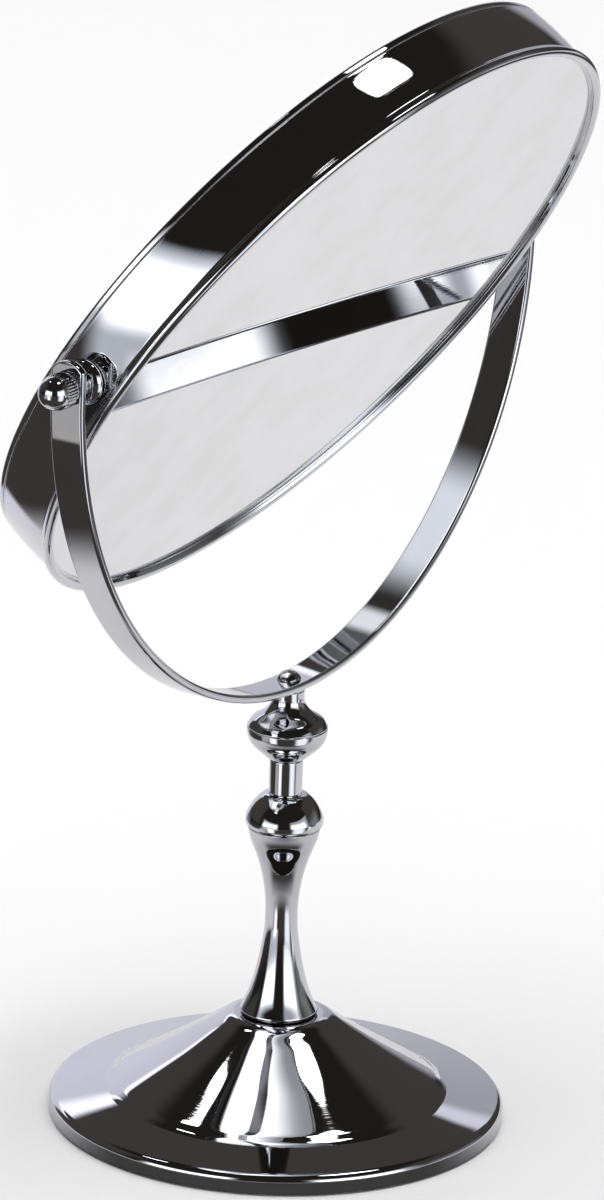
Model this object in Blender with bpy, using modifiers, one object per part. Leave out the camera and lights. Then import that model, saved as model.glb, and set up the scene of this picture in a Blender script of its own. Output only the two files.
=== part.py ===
"""Tabletop shaving mirror: a weighted round base, a turned stem with a rod that
telescopes out of it, a swivelling yoke and a two-sided mirror head that tilts in it.

Metres, +Z up.  The origin is on the table at the centre of the base.  The head's
pivots lie along X, and the face of the plain glass looks towards -Y and down.
"""
import bpy
import bmesh
from math import asin, cos, pi, radians, sin
from mathutils import Vector

MM = 0.001

# --- driving dimensions -----------------------------------------------------------
GAP = 0.3 * MM                 # air between pieces that touch
SHEET = 1.4 * MM               # pressed metal of the base shell

BASE_R = 64.0 * MM
BASE_LIFT = 0.4 * MM           # the shell's edge stands this far above the table
PAD_R = 60.0 * MM
PAD_TOP = 2.2 * MM
CONE_TOP_Z = 30.0 * MM         # where the stem's foot sits on the cone
STEP_R, STEP_Z = 45.0 * MM, 10.2 * MM
WEIGHT_BORE_R = 12.5 * MM
WEIGHT_EDGE_R = 58.5 * MM

STEM_FOOT_Z = 30.3 * MM
STEM_TOP_Z = 85.8 * MM
STEM_BORE_R = 3.85 * MM
SPIGOT_R, SPIGOT_Z = 6.0 * MM, 9.0 * MM      # threaded tail under the foot, its end
WASHER_R, WASHER_THICK = 10.2 * MM, 1.2 * MM
STEM_NUT_R, STEM_NUT_HEIGHT = 9.2 * MM, 5.0 * MM
BUSH_R, BUSH_Z = 5.8 * MM, (80.0 * MM, 93.4 * MM)
COLLAR_Z, COLLAR_TOP_Z = 86.1 * MM, 95.4 * MM
COLLAR_R = 10.95 * MM

ROD_R = 3.45 * MM
ROD_Z = (5.2 * MM, 119.0 * MM)
PLUG_R, PLUG_HEIGHT = 3.65 * MM, 8.0 * MM
ROD_TAIL_R = 2.4 * MM          # the rod is turned down to this inside the end plug
FERRULE_R = 4.68 * MM
FERRULE_Z = (95.8 * MM, 105.5 * MM)
FINIAL_Z = (105.8 * MM, 115.2 * MM, 126.0 * MM)    # bottom, crease, top
FINIAL_R = 11.3 * MM
ROD_SEAT_Z = 119.4 * MM        # top of the rod's hole in the finial
YOKE_SCREW_R = 2.2 * MM        # its hole; the shank is one gap smaller
DOME_R, DOME_HEIGHT = 3.4 * MM, 2.34 * MM    # head of that screw

PIVOT_Z = 239.6 * MM
YOKE_R = 109.6 * MM            # outside of the bent band
YOKE_DROP = 3.4 * MM           # the band's arc is centred this far below the pivots
BAND_THICK = 2.4 * MM
BAND_WIDTH = 10.7 * MM
ARM_RISE = 7.6 * MM            # the arms end this far above the pivots
ARM_END_R = 6.6 * MM

HEAD_TILT = radians(33.6)      # the head's top leans forward by this angle
HEAD_R = 101.2 * MM            # the rim's band
HEAD_HALF = 10.9 * MM
RIM_WALL = 1.2 * MM
BEAD_EDGE_R = 102.2 * MM       # the rolled bead round the front edge
LIP_R = 98.7 * MM              # opening in front of each glass
GLASS_R = 99.6 * MM
GLASS_FACE = 8.9 * MM          # each glass's edge, from the head's middle plane
BEZEL_R = 100.8 * MM           # the back bezel is a slightly smaller ring
BEZEL_SEAM = -8.9 * MM
BOW_RISE = 3.4 * MM            # how far the magnifying glass is dished
PLAIN_THICK, BOWED_THICK = 3.0 * MM, 2.4 * MM
SPACER_R = (91.5 * MM, 95.0 * MM)    # the ring that holds the glasses apart
FOAM_R = 90.0 * MM

STUD_R = 2.0 * MM
STUD_FOOT_X = 95.9 * MM        # the stud's inner end
STUD_OUT = 4.6 * MM            # how far it reaches past the yoke
ANCHOR_R, ANCHOR_HEIGHT = 3.9 * MM, 2.6 * MM
BOSS_R, BOSS_HEIGHT = 6.3 * MM, 2.6 * MM
BEAD_R, BEAD_HALF = 4.1 * MM, 1.1 * MM
FRICTION_R = 3.6 * MM
NUT_R, NUT_DOME_R, KNURL_LENGTH = 4.9 * MM, 4.6 * MM, 4.6 * MM

FINE, MEDIUM, COARSE = 40, 28, 20    # facets round a turned piece
HEXAGON = 6

COLLECTION = "shaving_mirror"


# --- helpers ----------------------------------------------------------------------
def clear_scene():
    for obj in list(bpy.data.objects):
        bpy.data.objects.remove(obj, do_unlink=True)


def new_collection(name):
    collection = bpy.data.collections.new(name)
    bpy.context.scene.collection.children.link(collection)
    return collection


def material(name, colour, roughness, metallic):
    mat = bpy.data.materials.new(name)
    mat.use_nodes = True
    shader = mat.node_tree.nodes["Principled BSDF"]
    shader.inputs["Base Color"].default_value = (*colour, 1.0)
    shader.inputs["Roughness"].default_value = roughness
    shader.inputs["Metallic"].default_value = metallic
    return mat


def add_object(name, mesh, mat, parent=None):
    obj = bpy.data.objects.new(name, mesh)
    parts.objects.link(obj)
    mesh.materials.clear()
    mesh.materials.append(mat)
    obj.parent = parent
    return obj


def arc(centre, radius, start, end, steps):
    """Points of a round stretch of a profile, angles in degrees from +r towards +z."""
    r, z = centre
    angles = [radians(start + (end - start) * i / steps) for i in range(steps + 1)]
    return [(r + radius * cos(a), z + radius * sin(a)) for a in angles]


def flowing(points, steps):
    """A smooth line through the given profile points (Catmull-Rom)."""
    ends = [points[0]] + list(points) + [points[-1]]
    line = []
    for i in range(len(points) - 1):
        p0, p1, p2, p3 = (Vector((*p, 0.0)) for p in ends[i:i + 4])
        for k in range(steps):
            t = k / steps
            bend = (2 * p0 - 5 * p1 + 4 * p2 - p3) * t + (3 * p1 - p0 - 3 * p2 + p3) * t * t
            point = p1 + 0.5 * t * ((p2 - p0) + bend)
            line.append((point.x, point.y))
    return line + [points[-1]]


def turned(name, profile, mat, facets=MEDIUM, parent=None):
    """Turn a profile of (radius, height) points, outer side from top to bottom.

    A profile that starts and ends on the axis makes a solid piece; any other is
    closed back to its start and makes a ring.
    """
    mesh = bpy.data.meshes.new(name)
    on_axis = profile[0][0] == 0.0 and profile[-1][0] == 0.0
    edges = [(i, i + 1) for i in range(len(profile) - 1)]
    if not on_axis:
        edges.append((len(profile) - 1, 0))
    mesh.from_pydata([(r, 0.0, z) for r, z in profile], edges, [])
    obj = add_object(name, mesh, mat, parent)
    screw = obj.modifiers.new("turn", "SCREW")
    screw.axis = "Z"
    screw.angle = 2 * pi
    screw.steps = screw.render_steps = facets
    screw.use_merge_vertices = True
    screw.merge_threshold = 0.00001
    screw.use_smooth_shade = True
    return obj


def extruded(name, outline, half_depth, mat):
    """A flat outline in the XY plane, made solid along Z by a filled 2D curve."""
    curve = bpy.data.curves.new(name + "_outline", "CURVE")
    curve.dimensions = "2D"
    curve.fill_mode = "BOTH"
    curve.extrude = half_depth
    spline = curve.splines.new("POLY")
    spline.points.add(len(outline) - 1)
    for point, (x, y) in zip(spline.points, outline):
        point.co = (x, y, 0.0, 1.0)
    spline.use_cyclic_u = True
    guide = bpy.data.objects.new(name + "_guide", curve)
    parts.objects.link(guide)
    bpy.context.view_layer.update()
    evaluated = guide.evaluated_get(bpy.context.evaluated_depsgraph_get())
    mesh = bpy.data.meshes.new_from_object(evaluated)
    bpy.data.objects.remove(guide, do_unlink=True)
    weld = bmesh.new()
    weld.from_mesh(mesh)
    bmesh.ops.remove_doubles(weld, verts=weld.verts, dist=0.00001)
    weld.to_mesh(mesh)
    weld.free()
    return add_object(name, mesh, mat)


def cylinder_mesh(name, radius, length, facets):
    """A cylinder along Z, centred on its own origin."""
    mesh = bpy.data.meshes.new(name)
    shape = bmesh.new()
    bmesh.ops.create_cone(shape, cap_ends=True, segments=facets, radius1=radius,
                          radius2=radius, depth=length)
    shape.to_mesh(mesh)
    shape.free()
    return mesh


def make_cutter(obj):
    parts.objects.unlink(obj)
    cutters.objects.link(obj)
    obj.hide_render = True
    obj.display_type = "WIRE"
    return obj


def cylinder_cutter(name, radius, length, location, rotation=(0.0, 0.0, 0.0), parent=None):
    obj = add_object(name, cylinder_mesh(name, radius, length, COARSE), plain, parent)
    obj.location = location
    obj.rotation_euler = rotation
    return make_cutter(obj)


def boolean(obj, cutter, operation="DIFFERENCE"):
    step = obj.modifiers.new(cutter.name, "BOOLEAN")
    step.operation = operation
    step.object = cutter
    step.solver = "EXACT"


# --- base -------------------------------------------------------------------------
def base_top_line(drop, steps):
    """Top of the shell from the cone to the outer edge, lowered by the sheet's thickness."""
    cone = flowing([(12.6 * MM, CONE_TOP_Z - drop), (15.2 * MM, 29.3 * MM - drop),
                    (20.0 * MM, 25.9 * MM - drop), (31.0 * MM, 18.6 * MM - drop),
                    (STEP_R - drop, STEP_Z - drop)], steps)
    step = [(STEP_R + 1.2 * MM - drop, STEP_Z - 0.9 * MM - drop),
            (STEP_R + 3.4 * MM - drop, 8.0 * MM - drop)]
    corner = 2.3 * MM
    edge = arc((BASE_R - corner, 3.7 * MM), corner - drop, 82.0, 0.0, 3)
    return cone + step + edge


def build_base():
    outside = base_top_line(0.0, 2)
    inside = base_top_line(SHEET, 1)
    hole_r = SPIGOT_R + GAP
    shell = [(hole_r, CONE_TOP_Z)] + outside + [(BASE_R, BASE_LIFT)]
    shell += [(BASE_R - SHEET, BASE_LIFT)] + inside[::-1] + [(hole_r, CONE_TOP_Z - SHEET)]
    turned("base_shell", shell, chrome, FINE)

    weight_top = 20.2 * MM
    weight_foot = PAD_TOP + GAP
    weight = [(WEIGHT_BORE_R, weight_top), (17.0 * MM, weight_top), (30.0 * MM, 13.2 * MM),
              (42.0 * MM, 7.4 * MM), (43.5 * MM, 4.6 * MM), (WEIGHT_EDGE_R, 3.0 * MM),
              (WEIGHT_EDGE_R, weight_foot), (WEIGHT_BORE_R, weight_foot)]
    turned("base_weight", weight, iron, MEDIUM)

    pad = [(0.0, PAD_TOP), (PAD_R, PAD_TOP), (PAD_R, 0.0), (0.0, 0.0)]
    turned("base_pad", pad, rubber, FINE)

    washer_top = CONE_TOP_Z - SHEET - GAP
    washer_foot = washer_top - WASHER_THICK
    washer = [(hole_r, washer_top), (WASHER_R, washer_top), (WASHER_R, washer_foot),
              (hole_r, washer_foot)]
    turned("stem_washer", washer, steel, COARSE)

    nut = add_object("stem_nut", cylinder_mesh("stem_nut", STEM_NUT_R, STEM_NUT_HEIGHT, HEXAGON),
                     brass)
    nut.location = (0.0, 0.0, washer_foot - GAP - STEM_NUT_HEIGHT / 2)
    boolean(nut, cylinder_cutter("stem_nut_thread", hole_r, 3 * STEM_NUT_HEIGHT, nut.location))


# --- stem -------------------------------------------------------------------------
def build_stem():
    trumpet = flowing([(10.3 * MM, STEM_TOP_Z), (9.4 * MM, 82.0 * MM), (7.5 * MM, 77.0 * MM),
                       (5.9 * MM, 71.6 * MM), (4.8 * MM, 65.0 * MM), (4.55 * MM, 59.0 * MM),
                       (4.95 * MM, 53.0 * MM), (6.6 * MM, 43.6 * MM), (8.6 * MM, 36.4 * MM),
                       (11.0 * MM, 31.0 * MM)], 2)
    bush_foot, bush_top = BUSH_Z
    pocket_r = BUSH_R + GAP
    pocket_floor = bush_foot - GAP
    stem = trumpet + [(10.6 * MM, STEM_FOOT_Z), (SPIGOT_R, STEM_FOOT_Z), (SPIGOT_R, SPIGOT_Z),
                      (STEM_BORE_R, SPIGOT_Z), (STEM_BORE_R, pocket_floor),
                      (pocket_r, pocket_floor), (pocket_r, STEM_TOP_Z)]
    turned("stem", stem, chrome)

    bush_bore = ROD_R + 0.1 * MM
    bush = [(bush_bore, bush_top), (BUSH_R, bush_top), (BUSH_R, bush_foot),
            (bush_bore, bush_foot)]
    turned("gland_bush", bush, nylon, COARSE)

    mouth_r = ROD_R + 0.45 * MM
    dome = flowing([(mouth_r + 0.8 * MM, COLLAR_TOP_Z), (6.6 * MM, 94.9 * MM),
                    (8.9 * MM, 92.5 * MM), (10.7 * MM, 89.2 * MM), (COLLAR_R, 87.0 * MM),
                    (10.5 * MM, COLLAR_Z)], 2)
    collar = [(mouth_r, COLLAR_TOP_Z)] + dome
    collar += [(pocket_r, COLLAR_Z), (pocket_r, bush_top + GAP), (mouth_r, bush_top + GAP)]
    turned("lock_collar", collar, chrome)


# --- telescoping column -----------------------------------------------------------
def build_column():
    foot, top = ROD_Z
    step = foot + PLUG_HEIGHT
    rod = [(0.0, top), (ROD_R, top), (ROD_R, step), (ROD_TAIL_R, step), (ROD_TAIL_R, foot),
           (0.0, foot)]
    turned("telescopic_rod", rod, steel, COARSE)

    plug_bore, plug_top = ROD_TAIL_R + GAP, step - GAP
    plug = [(plug_bore, plug_top), (PLUG_R, plug_top), (PLUG_R, foot), (plug_bore, foot)]
    turned("rod_end_plug", plug, nylon, COARSE)

    bottom, shoulder = FERRULE_Z
    ferrule = [(ROD_R + GAP, shoulder), (FERRULE_R, shoulder), (FERRULE_R, bottom),
               (ROD_R + GAP, bottom)]
    turned("neck_sleeve", ferrule, chrome)


# --- yoke -------------------------------------------------------------------------
def yoke_outline():
    """The band seen from the front: an outer and an inner arc with straight arm ends."""
    drop = YOKE_DROP
    steps = 40
    inner_r = YOKE_R - BAND_THICK
    outer = [(YOKE_R * cos(pi + pi * i / steps), YOKE_R * sin(pi + pi * i / steps) - drop)
             for i in range(steps + 1)]
    inner = [(inner_r * cos(-pi * i / steps), inner_r * sin(-pi * i / steps) - drop)
             for i in range(steps + 1)]
    top = 2 * ARM_RISE
    return [(-YOKE_R, top)] + outer + [(YOKE_R, top), (inner_r, top)] + inner + [(-inner_r, top)]


def arm_outline():
    """The band seen along the pivots: straight sides under a shallow rounded end."""
    half = BAND_WIDTH / 2
    centre = ARM_RISE - ARM_END_R
    reach = asin(half / ARM_END_R)
    steps = 8
    angles = [reach - 2 * reach * i / steps for i in range(steps + 1)]
    end = [(ARM_END_R * sin(a), centre + ARM_END_R * cos(a)) for a in angles]
    return [(half, -2 * YOKE_R)] + end + [(-half, -2 * YOKE_R)]


def build_yoke():
    bottom, crease, top = FINIAL_Z
    bore_r = ROD_R + 0.4 * MM
    bowl = flowing([(FINIAL_R, crease - GAP / 2), (11.15 * MM, 112.8 * MM),
                    (9.9 * MM, 110.2 * MM), (6.4 * MM, 106.9 * MM), (4.95 * MM, bottom)], 2)
    bowl += [(bore_r, bottom), (bore_r, crease - GAP / 2)]
    turned("finial_bowl", bowl, chrome)

    cap = flowing([(4.5 * MM, top), (4.7 * MM, 122.6 * MM), (6.6 * MM, 119.7 * MM),
                   (9.9 * MM, 117.5 * MM), (FINIAL_R, crease + GAP / 2)], 2)
    cap += [(bore_r, crease + GAP / 2), (bore_r, ROD_SEAT_Z), (YOKE_SCREW_R, ROD_SEAT_Z),
            (YOKE_SCREW_R, top)]
    turned("finial_cap", cap, chrome)

    band = extruded("yoke", yoke_outline(), BAND_WIDTH / 2, chrome)
    band.location = (0.0, 0.0, PIVOT_Z)
    band.rotation_euler = (pi / 2, 0.0, 0.0)
    ends = make_cutter(extruded("yoke_arm_ends", arm_outline(), 1.2 * YOKE_R, plain))
    ends.location = (0.0, 0.0, PIVOT_Z)
    ends.rotation_euler = (pi / 2, 0.0, pi / 2)
    boolean(band, ends, "INTERSECT")
    along_x = (0.0, pi / 2, 0.0)
    boolean(band, cylinder_cutter("yoke_pivot_holes", STUD_R + GAP, 2.4 * YOKE_R,
                                  (0.0, 0.0, PIVOT_Z), along_x))
    seat_z = PIVOT_Z - YOKE_DROP - YOKE_R
    boolean(band, cylinder_cutter("yoke_screw_hole", YOKE_SCREW_R, 8 * BAND_THICK,
                                  (0.0, 0.0, seat_z)))

    head_seat = seat_z + BAND_THICK + GAP
    shank_r, shank_end = YOKE_SCREW_R - GAP, ROD_SEAT_Z + 0.2 * MM
    ball_r = (DOME_R ** 2 + DOME_HEIGHT ** 2) / (2 * DOME_HEIGHT)
    dome = arc((0.0, head_seat + DOME_HEIGHT - ball_r), ball_r, 88.0, 22.0, 5)
    screw = [(0.0, head_seat + DOME_HEIGHT)] + dome + [(DOME_R, head_seat)]
    screw += [(shank_r, head_seat), (shank_r, shank_end), (0.0, shank_end)]
    turned("yoke_screw", screw, chrome, COARSE)


# --- mirror head, turned about its own axis: +Z is the way the plain glass faces ----
def build_head():
    head = bpy.data.objects.new("head_pivot", None)
    parts.objects.link(head)
    head.location = (0.0, 0.0, PIVOT_Z)
    head.rotation_euler = (pi / 2 + HEAD_TILT, 0.0, 0.0)

    inner_r = HEAD_R - RIM_WALL
    edge_r = 1.5 * MM
    rim = [(LIP_R, GLASS_FACE + GAP)]
    rim += arc((BEAD_EDGE_R - edge_r, HEAD_HALF - edge_r), edge_r, 165.0, -45.0, 6)
    rim += [(HEAD_R, HEAD_HALF - 2.2 * edge_r), (HEAD_R, BEZEL_SEAM + GAP),
            (inner_r, BEZEL_SEAM + GAP), (inner_r, GLASS_FACE + GAP)]
    band = turned("rim", rim, chrome, FINE, head)
    boolean(band, cylinder_cutter("rim_stud_holes", STUD_R + GAP, 2.4 * HEAD_R,
                                  (0.0, 0.0, 0.0), (0.0, pi / 2, 0.0), head))

    bead_r = 1.0 * MM
    bezel = [(LIP_R, BEZEL_SEAM), (BEZEL_R, BEZEL_SEAM)]
    bezel += arc((BEZEL_R - bead_r, -HEAD_HALF + bead_r), bead_r, 0.0, -160.0, 5)
    turned("back_bezel", bezel, chrome, FINE, head)

    plain_back = GLASS_FACE - PLAIN_THICK
    plain_glass = [(0.0, GLASS_FACE), (GLASS_R, GLASS_FACE), (GLASS_R, plain_back),
                   (0.0, plain_back)]
    turned("plain_glass", plain_glass, mirror, FINE, head)

    bowed_edge = BEZEL_SEAM + GAP
    rings = 5
    radii = [GLASS_R * i / rings for i in range(rings + 1)]
    dish = [(r, bowed_edge + BOW_RISE * (1 - (r / GLASS_R) ** 2)) for r in radii]
    upper = [(r, z + BOWED_THICK) for r, z in dish]
    turned("magnifying_glass", upper + dish[::-1], mirror, FINE, head)

    spacer_inner, spacer_outer = SPACER_R
    spacer_top = plain_back - GAP
    spacer_foot = bowed_edge + BOWED_THICK + 1.0 * MM
    spacer = [(spacer_inner, spacer_top), (spacer_outer, spacer_top), (spacer_outer, spacer_foot),
              (spacer_inner, spacer_foot)]
    turned("glass_spacer_ring", spacer, nylon, FINE, head)
    foam_foot = bowed_edge + BOW_RISE + BOWED_THICK + GAP
    pad = [(0.0, spacer_top), (FOAM_R, spacer_top), (FOAM_R, foam_foot), (0.0, foam_foot)]
    turned("foam_backing", pad, foam, FINE, head)


# --- pivots: each side's pieces are turned about a line that runs out along X --------
def build_pivot(side, outwards):
    axis = bpy.data.objects.new(side + "_pivot", None)
    parts.objects.link(axis)
    axis.location = (0.0, 0.0, PIVOT_Z)
    axis.rotation_euler = (0.0, outwards * pi / 2, 0.0)

    hole_r = STUD_R + GAP
    stud_end = YOKE_R + STUD_OUT
    stud = [(0.0, stud_end), (STUD_R, stud_end), (STUD_R, STUD_FOOT_X), (0.0, STUD_FOOT_X)]
    turned(side + "_stud", stud, steel, COARSE, axis)

    anchor_mesh = cylinder_mesh(side + "_stud_nut", ANCHOR_R, ANCHOR_HEIGHT, HEXAGON)
    anchor = add_object(side + "_stud_nut", anchor_mesh, brass, axis)
    anchor.location = (0.0, 0.0, HEAD_R - RIM_WALL - 0.5 * MM - ANCHOR_HEIGHT / 2)
    boolean(anchor, cylinder_cutter(side + "_stud_nut_thread", hole_r, 3 * ANCHOR_HEIGHT,
                                    anchor.location, parent=axis))

    boss_base = HEAD_R + GAP
    boss_top = boss_base + BOSS_HEIGHT
    round_r = 1.25 * MM
    boss = [(hole_r, boss_top)]
    boss += arc((BOSS_R - round_r, boss_top - round_r), round_r, 90.0, -60.0, 5)
    boss += [(BOSS_R - 1.2 * MM, boss_base), (hole_r, boss_base)]
    turned(side + "_boss", boss, chrome, COARSE, axis)

    bead_base = boss_top + 0.2 * MM
    bead_top = bead_base + 2 * BEAD_HALF
    bead = [(hole_r, bead_top)]
    bead += arc((BEAD_R - BEAD_HALF, bead_base + BEAD_HALF), BEAD_HALF, 90.0, -90.0, 6)
    bead += [(hole_r, bead_base)]
    turned(side + "_bead", bead, chrome, COARSE, axis)

    washer_gap = GAP / 2
    washer_base = bead_top + washer_gap
    washer_top = YOKE_R - BAND_THICK - washer_gap
    washer = [(hole_r, washer_top), (FRICTION_R, washer_top), (FRICTION_R, washer_base),
              (hole_r, washer_base)]
    turned(side + "_friction_washer", washer, nylon, COARSE, axis)

    nut_base = YOKE_R + GAP
    knurl_end = nut_base + KNURL_LENGTH
    dome = arc((0.0, knurl_end), NUT_DOME_R, 90.0, 0.0, 6)[1:]
    nut = [(0.0, knurl_end + NUT_DOME_R)] + dome
    nut += [(NUT_R, knurl_end - 0.3 * MM), (NUT_R, nut_base + 0.5 * MM),
            (NUT_R - 0.5 * MM, nut_base), (hole_r, nut_base), (hole_r, stud_end + GAP),
            (0.0, stud_end + GAP)]
    turned(side + "_thumb_nut", nut, chrome, COARSE, axis)


clear_scene()
parts = new_collection(COLLECTION)
cutters = new_collection(COLLECTION + "_cutters")

chrome = material("chrome", (0.80, 0.80, 0.81), 0.04, 1.0)
mirror = material("mirror", (0.92, 0.93, 0.93), 0.0, 1.0)
steel = material("steel", (0.62, 0.62, 0.62), 0.25, 1.0)
brass = material("brass", (0.72, 0.55, 0.28), 0.3, 1.0)
iron = material("iron", (0.16, 0.16, 0.16), 0.7, 0.8)
rubber = material("rubber", (0.03, 0.03, 0.03), 0.85, 0.0)
nylon = material("nylon", (0.82, 0.81, 0.77), 0.45, 0.0)
foam = material("foam", (0.75, 0.75, 0.73), 0.9, 0.0)
plain = material("cutter", (0.8, 0.3, 0.3), 0.5, 0.0)

build_base()
build_stem()
build_column()
build_yoke()
build_head()
for side_name, direction in (("left", -1), ("right", 1)):
    build_pivot(side_name, direction)
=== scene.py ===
"""Looks of a chrome tabletop shaving mirror: a weighted round base, a turned stem with a
rod that telescopes out of it, a swivelling yoke and a two-sided head tilting in it.

Metres, +Z up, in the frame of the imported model.  The plain glass faces -Y and down.
"""
from math import cos, pi, radians, sin

import bpy
import numpy as np
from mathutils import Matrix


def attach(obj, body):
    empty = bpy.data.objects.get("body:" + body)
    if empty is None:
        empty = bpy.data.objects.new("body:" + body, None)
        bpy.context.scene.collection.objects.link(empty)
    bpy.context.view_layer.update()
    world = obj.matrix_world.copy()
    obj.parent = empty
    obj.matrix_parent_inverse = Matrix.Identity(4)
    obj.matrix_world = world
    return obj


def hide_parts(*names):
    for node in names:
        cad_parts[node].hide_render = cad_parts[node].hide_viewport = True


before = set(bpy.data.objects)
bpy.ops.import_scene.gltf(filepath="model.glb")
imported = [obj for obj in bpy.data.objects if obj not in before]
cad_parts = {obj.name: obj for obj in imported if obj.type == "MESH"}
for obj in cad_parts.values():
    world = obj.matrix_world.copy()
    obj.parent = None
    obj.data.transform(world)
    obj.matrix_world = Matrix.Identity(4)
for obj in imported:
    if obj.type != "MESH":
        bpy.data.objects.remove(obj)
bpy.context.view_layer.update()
MM = 0.001


# --- where it stands ----------------------------------------------------------------
# The mirror stands on a pale table in a dark room: a tall soft box on either side in front,
# a white paper sweep behind and two small lamps overhead.  The camera looks down on it from
# its left front.
camera_data = bpy.data.cameras.new("camera")
camera_data.lens = 281.3157
camera_data.sensor_width = 36.0
camera_data.clip_start, camera_data.clip_end = 0.05, 60.0
camera = bpy.data.objects.new("camera", camera_data)
camera.location = (-2.03866, -1.3839, 0.98106)
camera.rotation_euler = (radians(71.3992), radians(-1.7597), radians(-55.3057))
bpy.context.scene.collection.objects.link(camera)
bpy.context.scene.camera = camera

AWAY = np.array([0.8280, 0.5607, 0.0])     # level, from the camera to the mirror
RIGHT = np.array([0.5607, -0.8280, 0.0])


def node(tree, kind, **settings):
    """Add a node; a setting is a property, and inputs={...} gives its unlinked sockets."""
    made = tree.nodes.new(kind)
    for name, value in settings.pop("inputs", {}).items():
        made.inputs[name].default_value = value
    for name, value in settings.items():
        setattr(made, name, value)
    return made


def maths(tree, operation, *terms):
    """A Math node on numbers or sockets; gives back its output."""
    made = node(tree, "ShaderNodeMath", operation=operation)
    for socket, term in zip(made.inputs, terms):
        if isinstance(term, (int, float)):
            socket.default_value = term
        else:
            tree.links.new(term, socket)
    return made.outputs[0]


def fade(tree, value, start, end, low=0.0, high=1.0):
    """Smoothly from low to high as the value goes from start to end."""
    made = node(tree, "ShaderNodeMapRange", interpolation_type="SMOOTHSTEP",
                inputs={"From Min": start, "From Max": end, "To Min": low, "To Max": high})
    tree.links.new(value, made.inputs["Value"])
    return made.outputs["Result"]


def along(tree, vector, axis):
    """How far a vector socket reaches along an axis."""
    made = node(tree, "ShaderNodeVectorMath", operation="DOT_PRODUCT")
    tree.links.new(vector, made.inputs[0])
    made.inputs[1].default_value = axis.tolist()
    return made.outputs["Value"]


TABLE_HALF, TABLE_Z = 7.0, -0.0002
table_mesh = bpy.data.meshes.new("table")
table_mesh.from_pydata([(x * TABLE_HALF, y * TABLE_HALF, TABLE_Z)
                        for x, y in ((-1, -1), (1, -1), (1, 1), (-1, 1))], [], [(0, 1, 2, 3)])
table = bpy.data.objects.new("table", table_mesh)
bpy.context.scene.collection.objects.link(table)
# The table is pale to the eye.  In the chrome its paper ends on the left, on the right and
# in front of the base, as metres from the base's centre; close to the base there the chrome
# sees painted shade, a near-black sheet standing for the base's shadow, and the dark room further
# out.
PAPER_LEFT, PAPER_RIGHT, PAPER_FRONT = (-0.25, -0.17), (0.50, 0.36), (-0.14, -0.04)
# Distances over which the painted shade round the base fades out, and how far it reaches in front
# of the base onto the paper.
PAINTED_SHADE_END, BASE_SHADE_END, BASE_SHADE_BACK = (0.11, 0.16), (0.115, 0.075), (0.0, -0.05)
table_paint = bpy.data.materials.new("pale_table")
table_paint.use_nodes = True
paint = table_paint.node_tree
table_shader = paint.nodes["Principled BSDF"]
table_shader.inputs["Base Color"].default_value = (0.90, 0.895, 0.90, 1.0)
table_shader.inputs["Roughness"].default_value = 0.8
table_shader.inputs["Specular IOR Level"].default_value = 0.1
spot = node(paint, "ShaderNodeTexCoord").outputs["Object"]
paper = maths(paint, "MULTIPLY", fade(paint, along(paint, spot, RIGHT), *PAPER_LEFT),
              fade(paint, along(paint, spot, AWAY), *PAPER_FRONT))
paper = maths(paint, "MULTIPLY", paper, fade(paint, along(paint, spot, RIGHT), *PAPER_RIGHT))
in_chrome = node(paint, "ShaderNodeLightPath").outputs["Is Glossy Ray"]
seen_paper = node(paint, "ShaderNodeBsdfDiffuse", inputs={"Color": (0.775, 0.765, 0.775, 1.0)})
gone = node(paint, "ShaderNodeBsdfTransparent")
# Painted shade: a near-black diffuse sheet that only the chrome sees close to the base, standing
# for the base's shadow on the table.
painted_base_shade = node(paint, "ShaderNodeBsdfDiffuse", inputs={"Color": (0.08, 0.077, 0.075, 1.0)})
reach = node(paint, "ShaderNodeVectorMath", operation="LENGTH")
paint.links.new(spot, reach.inputs[0])
shade_or_gone = node(paint, "ShaderNodeMixShader")
paint.links.new(fade(paint, reach.outputs["Value"], *PAINTED_SHADE_END), shade_or_gone.inputs[0])
paint.links.new(painted_base_shade.outputs[0], shade_or_gone.inputs[1])
paint.links.new(gone.outputs[0], shade_or_gone.inputs[2])
sheet_or_gone = node(paint, "ShaderNodeMixShader")
past_paper = maths(paint, "SUBTRACT", 1.0, paper)
# The painted shade also covers the paper close to the base's front.
painted_shade_near_base = fade(paint, reach.outputs["Value"], *BASE_SHADE_END)
before_stem = fade(paint, along(paint, spot, AWAY), *BASE_SHADE_BACK)
past_paper = maths(paint, "MAXIMUM", past_paper, maths(paint, "MULTIPLY", painted_shade_near_base, before_stem))
paint.links.new(past_paper, sheet_or_gone.inputs[0])
paint.links.new(seen_paper.outputs[0], sheet_or_gone.inputs[1])
paint.links.new(shade_or_gone.outputs[0], sheet_or_gone.inputs[2])
eye_or_chrome = node(paint, "ShaderNodeMixShader")
paint.links.new(in_chrome, eye_or_chrome.inputs[0])
paint.links.new(table_shader.outputs[0], eye_or_chrome.inputs[1])
paint.links.new(sheet_or_gone.outputs[0], eye_or_chrome.inputs[2])
paint.links.new(eye_or_chrome.outputs[0], paint.nodes["Material Output"].inputs["Surface"])
table_mesh.materials.append(table_paint)

# The room: each light is a soft-edged window in azimuth and elevation, in degrees, with
# azimuth 0 behind the mirror and growing to the right.
studio = bpy.data.worlds.new("studio")
bpy.context.scene.world = studio
studio.use_nodes = True
sky = studio.node_tree
sky.nodes.clear()
way = node(sky, "ShaderNodeTexCoord").outputs["Generated"]
azimuth = maths(sky, "DEGREES", maths(sky, "ARCTAN2", along(sky, way, RIGHT),
                                      along(sky, way, AWAY)))
elevation = maths(sky, "DEGREES", maths(sky, "ARCSINE", along(sky, way, np.array([0, 0, 1.0]))))


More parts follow.
